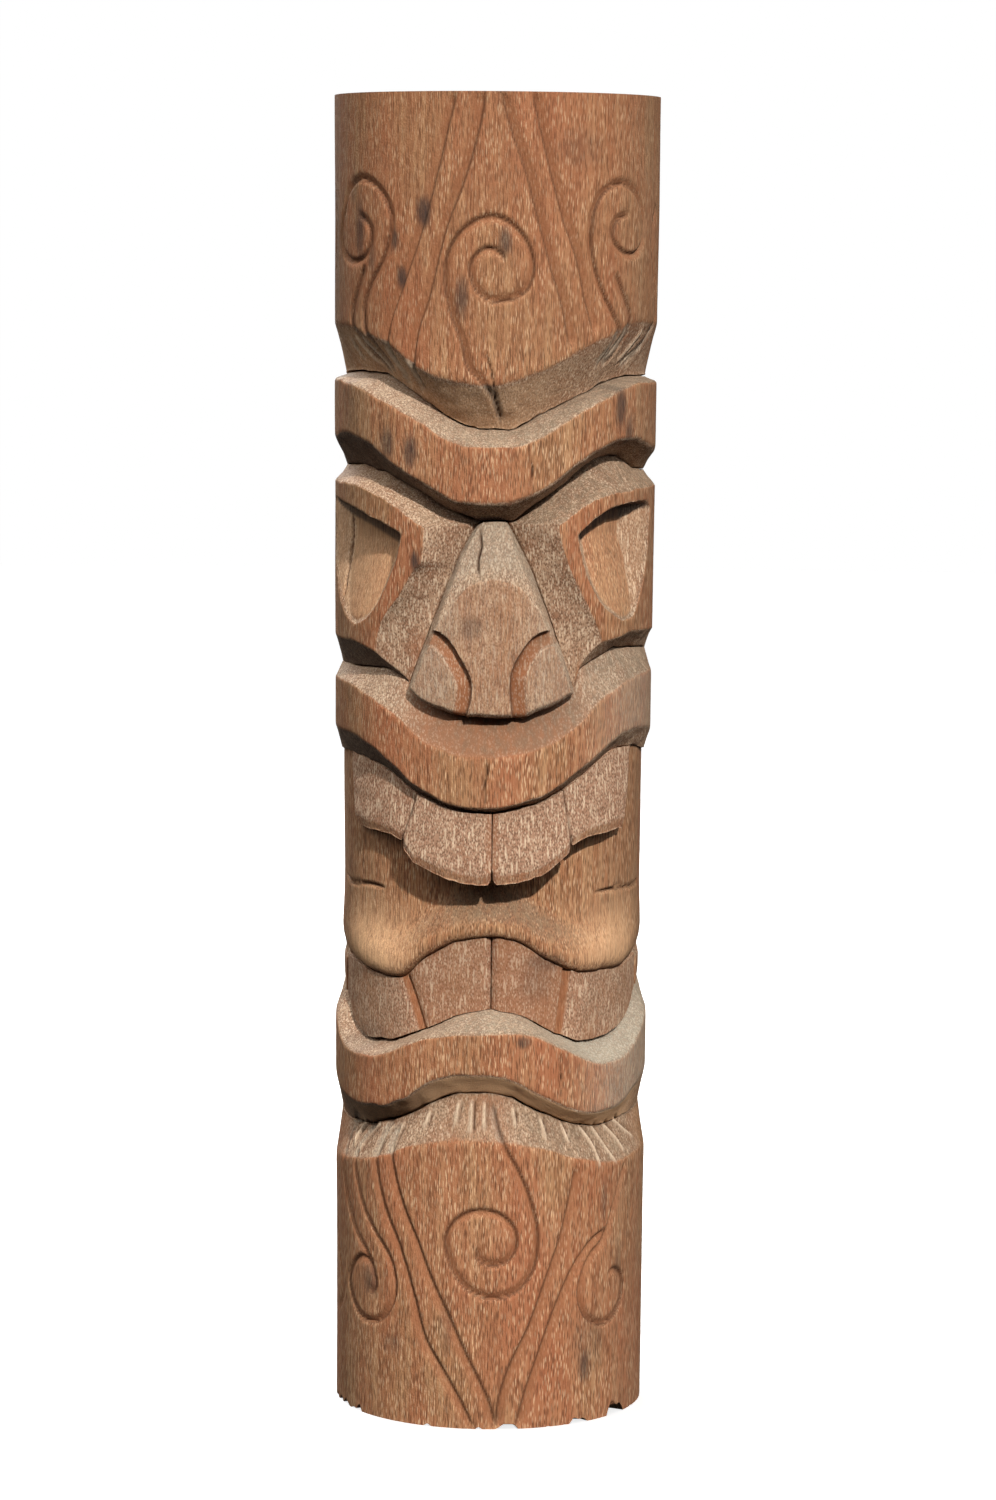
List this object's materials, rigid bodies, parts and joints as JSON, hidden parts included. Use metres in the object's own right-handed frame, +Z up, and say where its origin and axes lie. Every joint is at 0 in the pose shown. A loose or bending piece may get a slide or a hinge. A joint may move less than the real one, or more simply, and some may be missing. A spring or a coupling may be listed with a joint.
{
  "type": "carved tiki totem",
  "caption": "Free-standing log carved in deep relief as a tiki face, with brow, eyes, nose, lips, bared teeth, tongue and a scrolled crown and beard.",
  "frame": {"origin": "middle of the base, on the surface that the figure stands on", "axes": "+Z up along the log, -Y out of the face, +X to the right of someone who faces it"},
  "size_m": [0.248, 0.248, 1],
  "materials": {
    "log": "hand-carved, long grain, unsealed",
    "brow_and_lips": "hand-carved, long-grain faces with pale cross-cut ledges, unsealed",
    "eyes_and_cheeks": "hand-carved, gouged hollows, unsealed",
    "nose": "hand-carved, pale cross-cut bridge, unsealed",
    "teeth": "hand-carved, pale cross-cut faces, unsealed",
    "tongue": "hand-carved, long grain, unsealed"
  },
  "bodies": {
    "root": {"log": "log", "brow": "brow_and_lips", "eye_left": "eyes_and_cheeks", "eye_right": "eyes_and_cheeks", "nose": "nose", "upper_lip": "brow_and_lips", "upper_tooth_1": "teeth", "upper_tooth_2": "teeth", "upper_tooth_3": "teeth", "upper_tooth_4": "teeth", "cheek_left": "eyes_and_cheeks", "cheek_right": "eyes_and_cheeks", "tongue": "tongue", "lower_tooth_1": "teeth", "lower_tooth_2": "teeth", "lower_tooth_3": "teeth", "lower_tooth_4": "teeth", "lower_lip": "brow_and_lips"}
  },
  "joints": []
}
